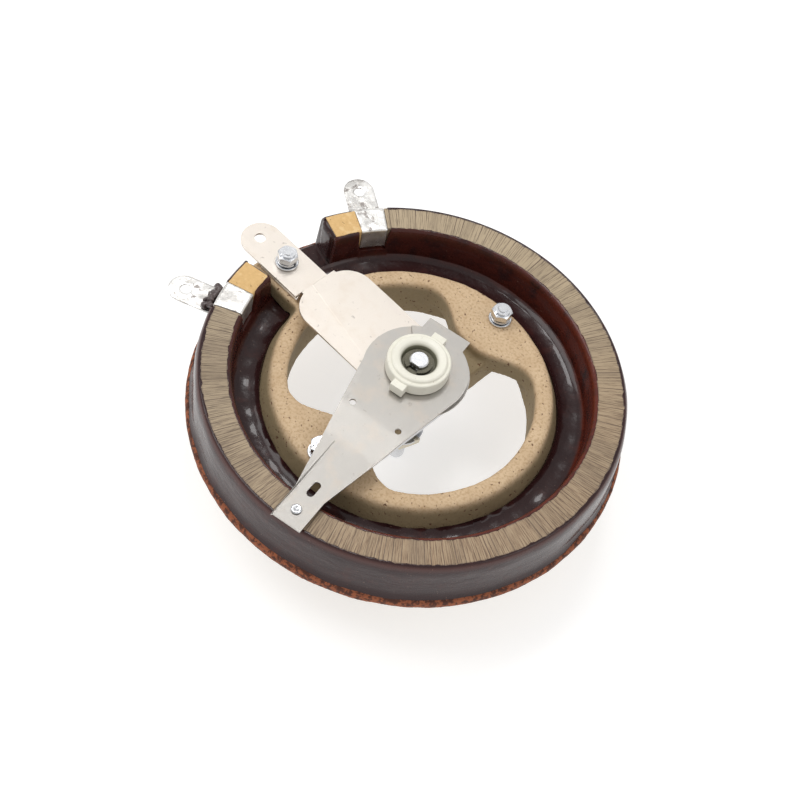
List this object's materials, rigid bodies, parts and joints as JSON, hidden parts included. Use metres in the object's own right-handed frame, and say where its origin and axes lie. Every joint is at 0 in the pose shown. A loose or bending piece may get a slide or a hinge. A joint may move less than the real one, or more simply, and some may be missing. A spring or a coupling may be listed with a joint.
{
  "type": "wirewound power rheostat",
  "caption": "Disc-type wirewound power rheostat: an open ring of enamelled winding on a round ceramic base, a sheet-steel wiper on a ceramic hub, solder lugs and a panel bushing.",
  "frame": {"origin": "shaft axis at the bracket face that seats on the panel", "axes": "+Z along the shaft towards the wiper; -X through the centre terminal; Y through the two bridge bolts"},
  "size_m": [0.196, 0.186, 0.0718],
  "materials": {
    "base_ceramic": "unglazed, speckled cream to orange brown",
    "core_ceramic": "unglazed, warm yellow tan",
    "resistance_wire": "ground bright across fine radial turns",
    "brown_enamel": "glossy dark purple brown glaze",
    "tinned_strip": "dipped tin, uneven and bright",
    "satin_steel": "satin rolled sheet with fine scratches",
    "zinc_plate": "bright zinc plate",
    "nickelled_brass": "nickel plated, turned",
    "hub_ceramic": "fine off-white steatite",
    "contact_alloy": "sintered contact alloy"
  },
  "bodies": {
    "base": {"ceramic_base": "base_ceramic", "winding_core": "core_ceramic", "resistance_winding": "resistance_wire", "enamel_coat": "brown_enamel", "end_terminal_a": "tinned_strip", "end_terminal_b": "tinned_strip", "centre_terminal": "satin_steel", "collector_plate": "satin_steel", "front_bracket": "zinc_plate", "panel_bushing": "nickelled_brass", "panel_washer": "zinc_plate", "panel_nut": "nickelled_brass", "bridge_a_screw": "zinc_plate", "bridge_a_plain_washer": "zinc_plate", "bridge_a_spring_washer": "zinc_plate", "bridge_a_hex_nut": "zinc_plate", "bridge_b_screw": "zinc_plate", "bridge_b_plain_washer": "zinc_plate", "bridge_b_spring_washer": "zinc_plate", "bridge_b_hex_nut": "zinc_plate", "terminal_screw": "zinc_plate", "terminal_plain_washer": "zinc_plate", "terminal_spring_washer": "zinc_plate", "terminal_hex_nut": "zinc_plate"},
    "rotor": {"shaft": "zinc_plate", "thrust_washer": "nickelled_brass", "bushing_clip": "zinc_plate", "insulating_hub": "hub_ceramic", "hub_washer": "zinc_plate", "hub_retaining_ring": "zinc_plate", "wiper_arm": "satin_steel", "contact_leaf": "satin_steel", "backing_leaf": "satin_steel", "contact_brush": "contact_alloy", "brush_rivet": "zinc_plate"}
  },
  "joints": [
    {"name": "shaft_turn", "type": "hinge", "parent": "base", "child": "rotor", "pos_m": [0, 0, 0], "axis": [0, 0, 1], "range_deg": [-69, 218.5]}
  ]
}
